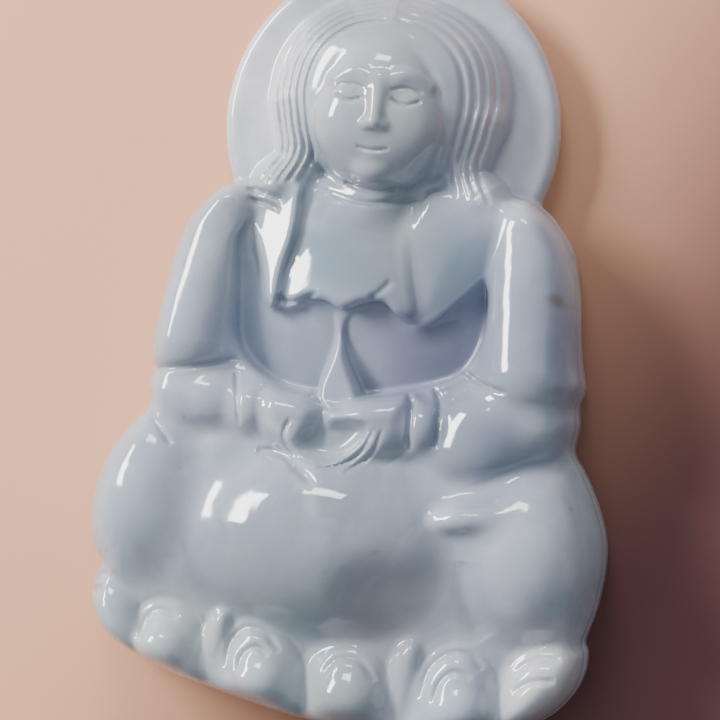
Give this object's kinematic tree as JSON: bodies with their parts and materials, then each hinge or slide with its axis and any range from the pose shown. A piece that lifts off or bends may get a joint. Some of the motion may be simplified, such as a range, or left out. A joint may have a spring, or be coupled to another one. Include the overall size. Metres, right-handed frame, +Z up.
{
  "type": "carved jade pendant figurine",
  "caption": "Flat-backed carved jade pendant of a seated figure with folded hands on a lotus base, with a round halo and a small cord hole.",
  "frame": {"origin": "centre of the lowest point's level: the middle of the bounding box's underside", "axes": "+Z up through the halo, +X to the viewer's right from the front, +Y out of the flat back; the carved front faces -Y"},
  "size_m": [0.038, 0.0108, 0.057],
  "materials": {
    "jade_body": "polished",
    "jade_halo": "polished",
    "jade_limbs": "polished",
    "jade_base": "polished"
  },
  "bodies": {
    "root": {"halo": "jade_halo", "back_plate": "jade_body", "head": "jade_body", "hood": "jade_body", "hair_lock_left": "jade_body", "hair_lock_right": "jade_body", "chest": "jade_body", "robe_left": "jade_body", "robe_right": "jade_body", "sash": "jade_body", "upper_arm_left": "jade_body", "upper_arm_right": "jade_body", "forearm_left": "jade_limbs", "forearm_right": "jade_limbs", "hand_left": "jade_body", "hand_right": "jade_body", "lap": "jade_body", "knee_left": "jade_limbs", "knee_right": "jade_limbs", "lotus_petal_1": "jade_base", "lotus_petal_2": "jade_base", "lotus_petal_3": "jade_base", "lotus_petal_4": "jade_base", "lotus_petal_5": "jade_base", "lotus_petal_6": "jade_base", "lotus_petal_7": "jade_base", "lotus_petal_8": "jade_base"}
  },
  "joints": []
}
